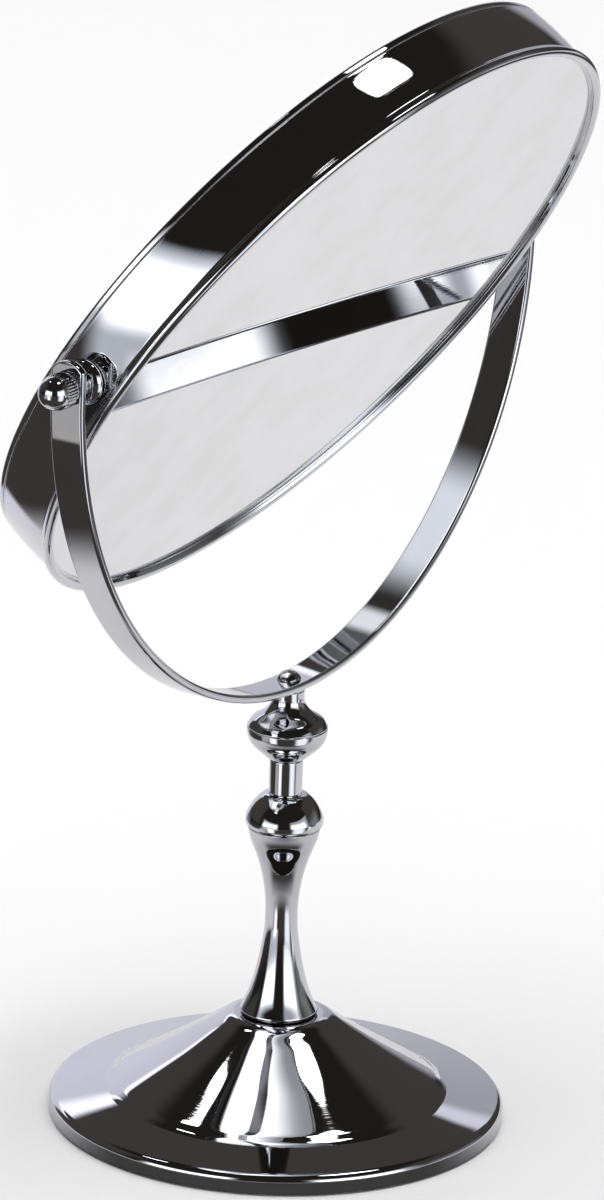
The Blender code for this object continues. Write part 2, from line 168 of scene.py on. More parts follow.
def window(left, right, low, high, side_soft, end_soft):
    """One inside a range of azimuth and elevation, falling to zero over its soft edges."""
    sides = maths(sky, "MULTIPLY", fade(sky, azimuth, left - side_soft, left + side_soft),
                  fade(sky, azimuth, right + side_soft, right - side_soft))
    ends = maths(sky, "MULTIPLY", fade(sky, elevation, low - end_soft, low + end_soft),
                 fade(sky, elevation, high + end_soft, high - end_soft))
    return maths(sky, "MULTIPLY", sides, ends)


def lamp_window(centre, long_way, half_long, half_wide):
    """One inside a rounded rectangle overhead: its centre and long side are (right, away)
    shares of a direction, and the sum of the fourth powers of its two coordinates is 1
    on its edge."""
    across = (long_way[1], -long_way[0])
    powers = []
    for axis, half in ((long_way, half_long), (across, half_wide)):
        reach_along = along(sky, way, axis[0] * RIGHT + axis[1] * AWAY)
        start = centre[0] * axis[0] + centre[1] * axis[1]
        share = maths(sky, "DIVIDE", maths(sky, "SUBTRACT", reach_along, start), half)
        powers.append(maths(sky, "POWER", maths(sky, "ABSOLUTE", share), 4.0))
    inside = fade(sky, maths(sky, "ADD", *powers), 1.25, 0.8)
    return maths(sky, "MULTIPLY", inside, fade(sky, elevation, 20.0, 22.0))


def lit(previous, mask, colour):
    """Add light of a colour, in watts per square metre and steradian, through a mask."""
    scaled = node(sky, "ShaderNodeVectorMath", operation="SCALE")
    scaled.inputs[0].default_value = colour
    sky.links.new(mask, scaled.inputs["Scale"])
    total = node(sky, "ShaderNodeVectorMath", operation="ADD")
    sky.links.new(previous, total.inputs[0])
    sky.links.new(scaled.outputs[0], total.inputs[1])
    return total.outputs[0]


dark_room = node(sky, "ShaderNodeCombineXYZ", inputs={"X": 0.019, "Y": 0.017, "Z": 0.014})
room = dark_room.outputs[0]
room = lit(room, window(-100.0, 100.0, 5.0, 47.0, 8.0, 5.0), (0.046, 0.044, 0.042))
room = lit(room, window(-180.0, 180.0, -95.0, -6.0, 0.1, 6.0), (0.040, 0.037, 0.035))
# The paper sweep behind is dimmer on the right and glows along its top edge.
SWEEP_LEFT, SWEEP_RIGHT, SWEEP_TOP = -38.0, 17.0, 27.4
sweep = maths(sky, "MULTIPLY", window(SWEEP_LEFT, SWEEP_RIGHT, -95.0, SWEEP_TOP, 3.0, 0.6),
              fade(sky, azimuth, -7.0, 9.0, 0.82, 0.45))
sweep_glow = window(SWEEP_LEFT, SWEEP_RIGHT, 24.5, SWEEP_TOP, 3.0, 1.2)
sweep = maths(sky, "ADD", sweep, maths(sky, "MULTIPLY", sweep, sweep_glow))
room = lit(room, sweep, (0.97, 0.97, 1.10))
for left, right, low, high, side_soft, end_soft, colour in (
        # Front left: a tall box's cloth, its bright middle, its foot, and a pale wall.
        (-160.0, -113.0, -14.0, 25.5, 5.0, 2.0, (0.66, 0.69, 0.74)),
        (-158.0, -116.0, 1.0, 20.0, 5.0, 5.0, (2.3, 2.3, 2.3)),
        (-150.0, -130.0, -32.0, -9.0, 5.0, 4.0, (1.6, 1.6, 1.6)),
        (-126.0, -104.0, -27.0, -15.0, 4.0, 0.5, (0.50, 0.49, 0.48)),
        # Front right: the same kind of box, its foot and a narrow gap of daylight.
        (104.0, 161.0, -4.0, 30.5, 6.0, 1.0, (0.5, 0.52, 0.55)),
        (114.0, 158.0, -1.0, 22.0, 6.0, 6.0, (2.3, 2.3, 2.3)),
        (119.0, 153.0, -38.0, -4.0, 8.0, 4.0, (1.32, 1.38, 1.46)),
        (98.0, 106.0, -17.0, -5.0, 2.0, 2.0, (1.4, 1.42, 1.45)),
        # Low, pale furniture on both sides.
        (60.0, 98.0, -16.0, 16.0, 12.0, 8.0, (0.20, 0.21, 0.22)),
        (30.0, 76.0, -13.0, -4.0, 4.0, 3.0, (0.75, 0.76, 0.80)),
        (-58.0, -38.0, -18.0, 2.0, 8.0, 5.0, (0.22, 0.22, 0.24))):
    room = lit(room, window(left, right, low, high, side_soft, end_soft), colour)
LAMP_WHITE = (6.0, 6.0, 6.0)
room = lit(room, lamp_window((0.304, 0.065), (0.43, 0.903), 0.138, 0.080), LAMP_WHITE)
room = lit(room, lamp_window((-0.415, 0.27), (0.80, -0.60), 0.050, 0.038), LAMP_WHITE)
seen_colour = node(sky, "ShaderNodeMix", data_type="RGBA")
sky.links.new(node(sky, "ShaderNodeLightPath").outputs["Is Camera Ray"], seen_colour.inputs[0])
sky.links.new(room, seen_colour.inputs[6])
seen_colour.inputs[7].default_value = (0.93, 0.93, 0.94, 1.0)
backdrop = node(sky, "ShaderNodeBackground")
sky.links.new(seen_colour.outputs[2], backdrop.inputs["Color"])
sky.links.new(backdrop.outputs[0], node(sky, "ShaderNodeOutputWorld").inputs["Surface"])
bpy.context.scene.view_settings.view_transform = "Standard"


# A wide soft box overhead lights the table.  It is kept out of the chrome, which sees the
# windows instead.
lamp = bpy.data.lights.new("box_over", "AREA")
lamp.shape = "RECTANGLE"
lamp.size = lamp.size_y = 6.0
lamp.energy = 240.0
box_over = bpy.data.objects.new("box_over", lamp)
box_over.location = (0.0, 0.0, 4.0)
box_over.visible_camera = box_over.visible_glossy = False
bpy.context.scene.collection.objects.link(box_over)


# --- base shell -----------------------------------------------------------------------
# A shallow bell pressed from sheet steel, polished and chrome plated, with a flat flange
# and a rounded rolled edge.  The stem is bolted down on the flat top of its cone.

def flowing(points, steps=8):
    """Smooth line through points: Catmull-Rom, each span a cubic in t from 0 to 1 whose
    slopes at its ends are half the chord between the neighbours."""
    p = np.array([points[0]] + list(points) + [points[-1]]) * 1.0
    t = (np.arange(steps) / steps)[None, :, None]
    a, b, c, d = (p[i:len(p) - 3 + i, None, :] for i in range(4))
    line = b + 0.5 * t * ((c - a) + (2 * a - 5 * b + 4 * c - d) * t
                          + (3 * b - a - 3 * c + d) * t * t)
    return np.vstack([line.reshape(-1, 2), p[-1:]])


def arc(centre, radius, start, end, steps=8):
    """Round stretch of a profile: centre plus radius at angles from start to end degrees."""
    a = np.radians(np.linspace(start, end, steps + 1))
    return np.stack([centre[0] + radius * np.cos(a), centre[1] + radius * np.sin(a)], axis=1)


def eased(*corners, steps=4):
    """Line of straight stretches whose corners are rounded: a corner (r, z, ease) becomes
    the quadratic curve that leaves its two sides at the distance ease."""
    c = np.array(corners)
    p, ease = c[:, :2], c[:, 2:]
    back, ahead = np.roll(p, 1, axis=0) - p, np.roll(p, -1, axis=0) - p
    back /= np.linalg.norm(back, axis=1, keepdims=True)
    ahead /= np.linalg.norm(ahead, axis=1, keepdims=True)
    t = np.linspace(0.0, 1.0, steps + 1)[None, :, None]
    line = ((1 - t) ** 2 * (p + ease * back)[:, None] + 2 * t * (1 - t) * p[:, None]
            + t ** 2 * (p + ease * ahead)[:, None]).reshape(-1, 2)
    step = np.linalg.norm(np.diff(line, axis=0, prepend=line[:1] + 1.0), axis=1)
    return line[step > 1e-8]


def skin(name, grid, ring=False):
    """Closed mesh of a grid of points: columns run round it, and rows run along it, back
    to the first row if it is a ring, else from one end point to the other.  Each normal
    is the cross product of the chords between its neighbours."""
    rows, cols = grid.shape[:2]
    if ring:
        onward = np.roll(grid, -1, axis=0) - np.roll(grid, 1, axis=0)
    else:
        onward = np.zeros_like(grid)
        onward[1:-1] = grid[2:] - grid[:-2]
        onward[0], onward[-1] = onward[1], onward[-2]
    around = np.roll(grid, -1, axis=1) - np.roll(grid, 1, axis=1)
    normals = np.cross(around, onward)
    index = np.arange(rows * cols).reshape(rows, cols)
    if not ring:
        index[0], index[-1] = index[0, 0], index[-1, 0]
        tips = grid[1, :].mean(axis=0) - grid[-2, :].mean(axis=0)
        normals[0], normals[-1] = tips, -tips
    lower = index if ring else index[:-1]
    upper = np.roll(index, -1, axis=0) if ring else index[1:]
    quads = np.stack([lower, np.roll(lower, -1, axis=1), np.roll(upper, -1, axis=1), upper],
                     axis=-1).reshape(-1, 4)
    points = grid.reshape(-1, 3)
    a, b, c, d = (points[quads[:, i]] for i in range(4))
    volume = np.einsum("ij,ij->i", a, np.cross(b, c) + np.cross(c, d)).sum()
    if volume < 0.0:
        quads = quads[:, ::-1]
    used, place = np.unique(quads, return_inverse=True)
    quads = place.reshape(quads.shape)
    first_tip, last_tip = quads[:, 0] == quads[:, 1], quads[:, 2] == quads[:, 3]
    faces = quads[~(first_tip | last_tip)].tolist()
    faces += quads[first_tip][:, 1:].tolist() + quads[last_tip][:, :3].tolist()
    mesh = bpy.data.meshes.new(name)
    mesh.from_pydata(points[used].tolist(), [], faces)
    mesh.shade_smooth()
    normals = normals.reshape(-1, 3)[used]
    outward = np.zeros(len(used) * 3)
    mesh.vertices.foreach_get("normal", outward)
    outward = outward.reshape(-1, 3)
    normals *= np.sign(np.einsum("ij,ij->i", normals, outward))[:, None]
    mesh.normals_split_custom_set_from_vertices(
        (normals / np.linalg.norm(normals, axis=1, keepdims=True)).tolist())
    piece = bpy.data.objects.new(name, mesh)
    bpy.context.scene.collection.objects.link(piece)
    return piece


UPRIGHT = (np.eye(3), np.zeros(3))


def turned(name, profile, sides=128, stand=UPRIGHT, flutes=None):
    """Turned piece: radius r and height z of the profile, at angle a, give the point
    (r cos a, r sin a, z), which the stand then turns and moves.  A profile that starts
    and ends on the axis is solid, any other is a ring.  Flutes, a count, a depth and the
    rows they lie on, make the radius swell as the cosine of the angle times the count."""
    a = np.linspace(0.0, 2 * pi, sides, endpoint=False)[None, :]
    r, z = profile[:, 0][:, None] + 0.0 * a, profile[:, 1][:, None] + 0.0 * a
    if flutes:
        count, depth, weight = flutes
        r = r - depth * weight[:, None] * (0.5 - 0.5 * np.cos(count * a))
    grid = np.stack([r * np.cos(a), r * np.sin(a), z], axis=-1)
    turn, place = stand
    return skin(name, grid @ turn.T + place,
                ring=not (profile[0, 0] < 1e-7 and profile[-1, 0] < 1e-7))


def finish(piece, body, slot, material, *nodes):
    """Put the material on a piece, hang it on its body and let it stand for its nodes."""
    piece.data.materials.clear()
    piece.data.materials.append(material)
    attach(piece, body)
    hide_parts(*nodes)


def new_material(name):
    """An empty node material with a Principled shader; gives back both and the tree."""
    material = bpy.data.materials.new(name)
    material.use_nodes = True
    tree = material.node_tree
    return material, tree, tree.nodes["Principled BSDF"]


def local_point(tree, stand):
    """Object coordinates moved and turned back to the piece's own upright frame."""
    turn, place = stand
    shifted = node(tree, "ShaderNodeVectorMath", operation="SUBTRACT")
    tree.links.new(node(tree, "ShaderNodeTexCoord").outputs["Object"], shifted.inputs[0])
    shifted.inputs[1].default_value = place.tolist()
    return [along(tree, shifted.outputs[0], axis) for axis in turn.T]


def chrome(name, stand=UPRIGHT, lathe=1.0, tint=(0.61, 0.615, 0.645)):
    """Bright chrome over polished metal.  Faint rings from the lathe follow the distance
    from the piece's axis and its height; soft ripples and a little haze lie over them."""
    material, tree, shader = new_material(name)
    x, y, z = local_point(tree, stand)
    radius = maths(tree, "SQRT", maths(tree, "ADD", maths(tree, "MULTIPLY", x, x),
                                       maths(tree, "MULTIPLY", y, y)))
    rings_at = node(tree, "ShaderNodeCombineXYZ")
    tree.links.new(radius, rings_at.inputs["X"])
    tree.links.new(z, rings_at.inputs["Y"])
    rings = node(tree, "ShaderNodeTexNoise",
                 inputs={"Scale": 2600.0, "Detail": 2.0, "Roughness": 0.5})
    tree.links.new(rings_at.outputs[0], rings.inputs["Vector"])
    own = node(tree, "ShaderNodeCombineXYZ")
    for socket, value in zip(own.inputs, (x, y, z)):
        tree.links.new(value, socket)
    ripple = node(tree, "ShaderNodeTexNoise", inputs={"Scale": 70.0, "Detail": 1.0})
    haze = node(tree, "ShaderNodeTexNoise", inputs={"Scale": 38.0, "Detail": 5.0})
    for texture in (ripple, haze):
        tree.links.new(own.outputs[0], texture.inputs["Vector"])
    tone = node(tree, "ShaderNodeMix", data_type="RGBA")
    tone.inputs[6].default_value = (*[0.955 * c for c in tint], 1.0)
    tone.inputs[7].default_value = (*tint, 1.0)
    tree.links.new(fade(tree, haze.outputs["Fac"], 0.35, 0.6), tone.inputs[0])
    tree.links.new(tone.outputs[2], shader.inputs["Base Color"])
    tree.links.new(fade(tree, haze.outputs["Fac"], 0.3, 0.7, 0.035, 0.012),
                   shader.inputs["Roughness"])
    shader.inputs["Metallic"].default_value = 1.0
    waves = node(tree, "ShaderNodeBump", inputs={"Strength": 0.06, "Distance": 0.0003})
    tree.links.new(ripple.outputs["Fac"], waves.inputs["Height"])
    lines = node(tree, "ShaderNodeBump", inputs={"Strength": 0.05 * lathe, "Distance": 0.00005})
    tree.links.new(rings.outputs["Fac"], lines.inputs["Height"])
    tree.links.new(waves.outputs[0], lines.inputs["Normal"])
    tree.links.new(lines.outputs[0], shader.inputs["Normal"])
    return material


upright_chrome = chrome("turned_chrome")

SHEET = 1.4 * MM
BASE_R, BASE_LIFT = 64.0 * MM, 0.4 * MM
CONE_TOP_Z = 30.0 * MM


def base_line(drop):
    """The bell's top line from the cone's flat to the rim, lowered by a drop: a flowing
    cone, the small step at its foot, the flange and the quarter round of the edge."""
    cone = flowing([(12.6 * MM, CONE_TOP_Z - drop), (15.2 * MM, 29.3 * MM - drop),
                    (20.0 * MM, 25.9 * MM - drop), (31.0 * MM, 18.6 * MM - drop),
                    (45.0 * MM - drop, 10.2 * MM - drop)])
    step = flowing([(45.4 * MM - drop, 9.9 * MM - drop), (46.2 * MM - drop, 9.3 * MM - drop),
                    (47.1 * MM - drop, 8.65 * MM - drop), (48.4 * MM - drop, 8.0 * MM - drop)], 3)
    edge = arc((BASE_R - 2.3 * MM, 3.7 * MM), 2.3 * MM - drop, 82.0, 0.0, 10)
    return np.vstack([cone, step, edge])


shell_top, shell_under = base_line(0.0), base_line(SHEET)
shell_edge = [(BASE_R, BASE_LIFT + 0.2 * MM), (BASE_R - 0.2 * MM, BASE_LIFT),
              (BASE_R - SHEET + 0.2 * MM, BASE_LIFT), (BASE_R - SHEET, BASE_LIFT + 0.2 * MM)]
shell_profile = np.vstack([[(6.3 * MM, CONE_TOP_Z)], shell_top, shell_edge, shell_under[::-1],
                           [(6.3 * MM, CONE_TOP_Z - SHEET)]])
base_bell = turned("base_bell", shell_profile, sides=192)
finish(base_bell, "base", "chrome", upright_chrome, "base_shell")


# --- base pad and weight --------------------------------------------------------------
# A disc of black rubber closes the underside and stops the base from sliding; a rough
# cast-iron ring over it gives the weight.  Only the rubber's edge and underside show.

def dressed(material, *nodes):
    """Give carried-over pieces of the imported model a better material."""
    for name in nodes:
        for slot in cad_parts[name].material_slots:
            slot.material = material


def grainy(name, colour, scale, roughness, depth, metallic=0.0, spread=0.25):
    """Matt or cast stock: two noises vary its colour, its roughness and a small relief."""
    material, tree, shader = new_material(name)
    at = node(tree, "ShaderNodeTexCoord").outputs["Object"]
    coarse = node(tree, "ShaderNodeTexNoise", inputs={"Scale": scale, "Detail": 6.0})
    broad = node(tree, "ShaderNodeTexNoise", inputs={"Scale": scale / 12.0, "Detail": 2.0})
    for texture in (coarse, broad):
        tree.links.new(at, texture.inputs["Vector"])
    tone = node(tree, "ShaderNodeMix", data_type="RGBA")
    tone.inputs[6].default_value = (*[c * (1.0 - spread) for c in colour], 1.0)
    tone.inputs[7].default_value = (*[min(1.0, c * (1.0 + spread)) for c in colour], 1.0)
    both = maths(tree, "MULTIPLY", coarse.outputs["Fac"], 0.6)
    both = maths(tree, "ADD", both, maths(tree, "MULTIPLY", broad.outputs["Fac"], 0.4))
    tree.links.new(fade(tree, both, 0.3, 0.7), tone.inputs[0])
    tree.links.new(tone.outputs[2], shader.inputs["Base Color"])
    tree.links.new(fade(tree, coarse.outputs["Fac"], 0.3, 0.7, roughness + 0.08,
                        roughness - 0.06), shader.inputs["Roughness"])
    shader.inputs["Metallic"].default_value = metallic
    relief = node(tree, "ShaderNodeBump", inputs={"Strength": 0.4, "Distance": depth})
    tree.links.new(coarse.outputs["Fac"], relief.inputs["Height"])
    tree.links.new(relief.outputs[0], shader.inputs["Normal"])
    return material


rubber = grainy("black_rubber", (0.028, 0.028, 0.03), 1400.0, 0.72, 0.00012)
pad = turned("rubber_pad", np.vstack([eased((0.0, 2.2 * MM, 0.0), (60.0 * MM, 2.2 * MM, 0.3 * MM),
                                            (60.0 * MM, 0.0, 0.5 * MM), (0.0, 0.0, 0.0))]), 160)
finish(pad, "base", "rubber", rubber, "base_pad")
cast_iron = grainy("rough_cast_iron", (0.10, 0.10, 0.105), 620.0, 0.68, 0.0004, metallic=0.6)
dressed(cast_iron, "base_weight")


# --- stem -----------------------------------------------------------------------------
# A baluster turned from brass bar, chrome plated: a trumpet up to the collar's seat and a
# flare down to the foot.  A hexagon nut and a washer inside the base pull it down.
STEM_TOP_Z, STEM_FOOT_Z, SPIGOT_Z = 85.8 * MM, 30.3 * MM, 9.0 * MM
SPIGOT_R, STEM_BORE_R, POCKET_R, POCKET_Z = 6.0 * MM, 3.85 * MM, 6.1 * MM, 79.7 * MM
trumpet = flowing([(10.3 * MM, STEM_TOP_Z), (9.4 * MM, 82.0 * MM), (7.5 * MM, 77.0 * MM),
                   (5.9 * MM, 71.6 * MM), (4.8 * MM, 65.0 * MM), (4.55 * MM, 59.0 * MM),
                   (4.95 * MM, 53.0 * MM), (6.6 * MM, 43.6 * MM), (8.6 * MM, 36.4 * MM),
                   (11.0 * MM, 31.0 * MM)])
stem_inside = eased((10.6 * MM, STEM_FOOT_Z, 0.15 * MM), (SPIGOT_R, STEM_FOOT_Z, 0.0),
                    (SPIGOT_R, SPIGOT_Z, 0.2 * MM), (STEM_BORE_R, SPIGOT_Z, 0.1 * MM),
                    (STEM_BORE_R, POCKET_Z, 0.0), (POCKET_R, POCKET_Z, 0.0),
                    (POCKET_R, STEM_TOP_Z, 0.0))
baluster = turned("baluster", np.vstack([trumpet, stem_inside]), sides=112)
finish(baluster, "base", "chrome", upright_chrome, "stem")
bright_zinc = grainy("bright_zinc", (0.60, 0.60, 0.61), 260.0, 0.30, 0.00004, 1.0, 0.08)
machined_brass = grainy("machined_brass", (0.66, 0.49, 0.22), 300.0, 0.30, 0.00004, 1.0, 0.10)
dressed(bright_zinc, "stem_washer")
dressed(machined_brass, "stem_nut")


# --- collar and bush ------------------------------------------------------------------
# A domed chrome collar caps the stem and holds a nylon bush, which grips the rod by
# friction so that the mirror stays at any height.
COLLAR_Z, COLLAR_TOP_Z, BUSH_TOP_Z = 86.1 * MM, 95.4 * MM, 93.7 * MM
COLLAR_MOUTH_R = 3.9 * MM
collar_dome = flowing([(4.7 * MM, COLLAR_TOP_Z), (6.6 * MM, 94.9 * MM), (8.9 * MM, 92.5 * MM),
                       (10.7 * MM, 89.2 * MM), (10.95 * MM, 87.0 * MM), (10.5 * MM, COLLAR_Z)])
collar_inside = eased((POCKET_R, COLLAR_Z, 0.0), (POCKET_R, BUSH_TOP_Z, 0.0),
                      (COLLAR_MOUTH_R, BUSH_TOP_Z, 0.0), (COLLAR_MOUTH_R, COLLAR_TOP_Z, 0.0))
collar = turned("domed_collar", np.vstack([collar_dome, collar_inside]), sides=112)
finish(collar, "base", "chrome", upright_chrome, "lock_collar")
nylon = grainy("natural_nylon", (0.72, 0.71, 0.66), 520.0, 0.42, 0.00003, spread=0.05)
dressed(nylon, "gland_bush", "rod_end_plug", "glass_spacer_ring", "left_friction_washer",
        "right_friction_washer")


# --- telescoping rod and neck sleeve ----------------------------------------------------
# A ground steel rod slides in the bush, and a nylon plug on its foot stops it coming out.
# A chrome tube is pressed on its neck and rests on the collar when the mirror is down.
ROD_R, ROD_TOP_Z, ROD_FOOT_Z = 3.45 * MM, 119.0 * MM, 5.2 * MM
TAIL_R, TAIL_Z = 2.4 * MM, 13.2 * MM
rod = turned("ground_rod", eased((0.0, ROD_TOP_Z, 0.0), (ROD_R, ROD_TOP_Z, 0.3 * MM),
                                 (ROD_R, TAIL_Z, 0.2 * MM), (TAIL_R, TAIL_Z, 0.0),
                                 (TAIL_R, ROD_FOOT_Z, 0.3 * MM), (0.0, ROD_FOOT_Z, 0.0)), 64)
finish(rod, "column", "steel", chrome("ground_steel", lathe=2.5, tint=(0.56, 0.56, 0.57)),
       "telescopic_rod")
NECK_R, NECK_BORE_R = 4.68 * MM, 3.75 * MM
NECK_Z, NECK_TOP_Z = 95.8 * MM, 105.5 * MM
sleeve = turned("neck_tube", eased((NECK_BORE_R, NECK_TOP_Z, 0.1 * MM),
                                   (NECK_R, NECK_TOP_Z, 0.25 * MM),
                                   (NECK_R, NECK_Z, 0.25 * MM),
                                   (NECK_BORE_R, NECK_Z, 0.1 * MM)), 96)
finish(sleeve, "column", "chrome", upright_chrome, "neck_sleeve")


# --- finial -----------------------------------------------------------------------------
# A bowl and a cap turned from brass and chrome plated sit on the rod's top and turn on it.
# They meet in a fine crease, and the yoke stands on the cap's flat.
BOWL_TOP_Z, CAP_Z, FINIAL_Z, FINIAL_TOP_Z = 115.05 * MM, 115.35 * MM, 105.8 * MM, 126.0 * MM
FINIAL_R, FINIAL_BORE_R = 11.3 * MM, 3.85 * MM
ROD_SEAT_Z, SCREW_HOLE_R = 119.4 * MM, 2.2 * MM
bowl_line = flowing([(FINIAL_R, BOWL_TOP_Z), (11.15 * MM, 112.8 * MM),
                     (9.9 * MM, 110.2 * MM), (6.4 * MM, 106.9 * MM), (4.95 * MM, FINIAL_Z)])
bowl = turned("finial_lower", np.vstack([bowl_line, [(FINIAL_BORE_R, FINIAL_Z),
                                                     (FINIAL_BORE_R, BOWL_TOP_Z)]]), 112)
finish(bowl, "yoke_frame", "chrome", upright_chrome, "finial_bowl")
cap_line = flowing([(4.5 * MM, FINIAL_TOP_Z), (4.7 * MM, 122.6 * MM), (6.6 * MM, 119.7 * MM),
                    (9.9 * MM, 117.5 * MM), (FINIAL_R, CAP_Z)])
cap = turned("finial_upper", np.vstack([cap_line, [(FINIAL_BORE_R, CAP_Z),
                                                   (FINIAL_BORE_R, ROD_SEAT_Z),
                                                   (SCREW_HOLE_R, ROD_SEAT_Z),
                                                   (SCREW_HOLE_R, FINIAL_TOP_Z)]]), 112)
finish(cap, "yoke_frame", "chrome", upright_chrome, "finial_cap")


# --- yoke -------------------------------------------------------------------------------
# A strip of brass, 11 mm wide, bent to a half circle with short straight arms, its edges
# eased and its ends rounded, then polished along its length and chrome plated.
PIVOT_Z = 239.6 * MM
YOKE_R, YOKE_DROP = 109.6 * MM, 3.4 * MM
BAND_THICK, BAND_HALF = 2.4 * MM, 5.35 * MM
ARM_END_R, ARM_RISE = 6.6 * MM, 7.6 * MM
CORNER_POINTS = 5              # on each of the strip's four long edges


def bent_band(name):
    """Strip on a path: the path goes up, round and down, and each of its rows is a rounded
    rectangle, as thick as the strip and as wide as the arm's round end allows there."""
    middle = YOKE_R - BAND_THICK / 2
    reach = np.arcsin(BAND_HALF / ARM_END_R)
    close = np.linspace(0.03, reach, 14)
    end_z = ARM_RISE - ARM_END_R * (1.0 - np.cos(close))
    end_w = ARM_END_R * np.sin(close)
    arm_z = np.linspace(end_z[-1], -YOKE_DROP, 6)[1:-1]
    bend = np.linspace(0.0, pi, 181)
    straight = len(end_z) + len(arm_z)
    x = np.concatenate([np.full(straight, -middle), -middle * np.cos(bend),
                        np.full(straight, middle)])
    z = np.concatenate([end_z, arm_z, -YOKE_DROP - middle * np.sin(bend),
                        arm_z[::-1], end_z[::-1]])
    half = np.concatenate([end_w, np.full(len(x) - 2 * len(end_w), BAND_HALF), end_w[::-1]])
    across_x = np.concatenate([np.full(straight, -1.0), -np.cos(bend), np.full(straight, 1.0)])
    across_z = np.concatenate([np.zeros(straight), -np.sin(bend), np.zeros(straight)])
    thick = np.full(len(x), BAND_THICK / 2)
    # The two outermost rows are thinner, so that each arm's end is eased too.
    thick[[0, -1]] -= 0.35 * MM
    thick[[1, -2]] -= 0.12 * MM
    corner = np.minimum(0.95 * MM, 0.9 * half)
    turn = np.radians(np.linspace(0.0, 90.0, CORNER_POINTS))
    u = np.concatenate([np.cos(turn), -np.sin(turn), -np.cos(turn), np.sin(turn)])
    v = np.concatenate([np.sin(turn), np.cos(turn), -np.sin(turn), -np.cos(turn)])
    side_u = np.repeat([1.0, -1.0, -1.0, 1.0], CORNER_POINTS)
    side_v = np.repeat([1.0, 1.0, -1.0, -1.0], CORNER_POINTS)
    out = side_u * (thick - corner)[:, None] + u * corner[:, None]
    wide = side_v * (half - corner)[:, None] + v * corner[:, None]
    grid = np.stack([x[:, None] + across_x[:, None] * out, wide,
                     z[:, None] + across_z[:, None] * out + PIVOT_Z], axis=-1)
    tips = np.broadcast_to(grid[[0, -1]].mean(axis=1, keepdims=True), (2, *grid.shape[1:]))
    return skin(name, np.concatenate([tips[:1], grid, tips[1:]]))


yoke_chrome = chrome("strip_chrome", stand=(np.array([[1.0, 0.0, 0.0], [0.0, 0.0, 1.0],
                                                      [0.0, -1.0, 0.0]]).T,
                                            np.array([0.0, 0.0, PIVOT_Z - YOKE_DROP])))
finish(bent_band("bent_yoke"), "yoke_frame", "chrome", yoke_chrome, "yoke")
SCREW_SEAT_Z, SCREW_END_Z, SHANK_R = 129.3 * MM, 119.6 * MM, 1.9 * MM
screw_dome = arc((0.0, SCREW_SEAT_Z - 1.3 * MM), 3.64 * MM, 90.0, 22.0, 14)
screw_dome[0, 0] = 0.0
screw_profile = np.vstack([screw_dome, [(3.4 * MM, SCREW_SEAT_Z), (SHANK_R, SCREW_SEAT_Z),
                                        (SHANK_R, SCREW_END_Z), (0.0, SCREW_END_Z)]])
finish(turned("dome_screw", screw_profile, 64), "yoke_frame", "chrome", upright_chrome,
       "yoke_screw")


# --- mirror head: rim and back bezel ------------------------------------------------------
# The rim is a strip rolled to a ring with a bead along its front edge; a smaller bezel is
# pressed in from behind.  Both are stainless steel, polished and chrome plated.
HEAD_TILT = radians(33.6)
tilt = pi / 2 + HEAD_TILT
HEAD = (np.array([[1.0, 0.0, 0.0], [0.0, cos(tilt), -sin(tilt)], [0.0, sin(tilt), cos(tilt)]]),
        np.array([0.0, 0.0, PIVOT_Z]))
HEAD_R, HEAD_HALF = 101.2 * MM, 10.9 * MM
LIP_R, GLASS_R = 98.7 * MM, 99.6 * MM
GLASS_FACE, BEZEL_SEAM = 8.9 * MM, -8.9 * MM
FRONT_BEAD_R, FRONT_BEAD_ROUND = 102.2 * MM, 1.5 * MM
RIM_INNER_R, RIM_GAP, CROWN_RISE = HEAD_R - 1.2 * MM, 0.3 * MM, 0.36 * MM
BEZEL_R, BEZEL_ROUND = 100.8 * MM, 1.0 * MM
bead_line = arc((FRONT_BEAD_R - FRONT_BEAD_ROUND, HEAD_HALF - FRONT_BEAD_ROUND),
                FRONT_BEAD_ROUND, 165.0, -45.0, 22)
crown_z = np.linspace(HEAD_HALF - 3.2 * MM, BEZEL_SEAM + 0.7 * MM, 25)
crown = (crown_z - crown_z.mean()) / (crown_z[0] - crown_z.mean())
crown_line = np.stack([HEAD_R + 0.10 * MM - CROWN_RISE * crown ** 2, crown_z], axis=1)
rim_line = eased((crown_line[-1, 0], BEZEL_SEAM + 0.6 * MM, 0.0),
                 (crown_line[-1, 0] - 0.03 * MM, BEZEL_SEAM + RIM_GAP, 0.2 * MM),
                 (RIM_INNER_R, BEZEL_SEAM + RIM_GAP, 0.1 * MM),
                 (RIM_INNER_R, GLASS_FACE + RIM_GAP, 0.0), (LIP_R, GLASS_FACE + RIM_GAP, 0.0))
head_chrome = chrome("ring_chrome", stand=HEAD)
rim = turned("rolled_rim", np.vstack([bead_line, crown_line, rim_line]), 256, HEAD)
finish(rim, "mirror_head", "chrome", head_chrome, "rim")
bezel_edge = arc((BEZEL_R - BEZEL_ROUND, -HEAD_HALF + BEZEL_ROUND), BEZEL_ROUND, 0.0, -160.0, 16)
bezel_line = eased((LIP_R, BEZEL_SEAM, 0.0), (BEZEL_R, BEZEL_SEAM, 0.2 * MM),
                   (BEZEL_R, BEZEL_SEAM - 0.5 * MM, 0.0))
bezel = turned("pressed_bezel", np.vstack([bezel_line, bezel_edge]), 256, HEAD)
finish(bezel, "mirror_head", "chrome", head_chrome, "back_bezel")


# --- glasses, spacer and foam -------------------------------------------------------------
# Two silvered discs stand back to back on a spacer ring and a foam disc: a flat one in
# front, its edge ground and arrised, and a dished, magnifying one behind.

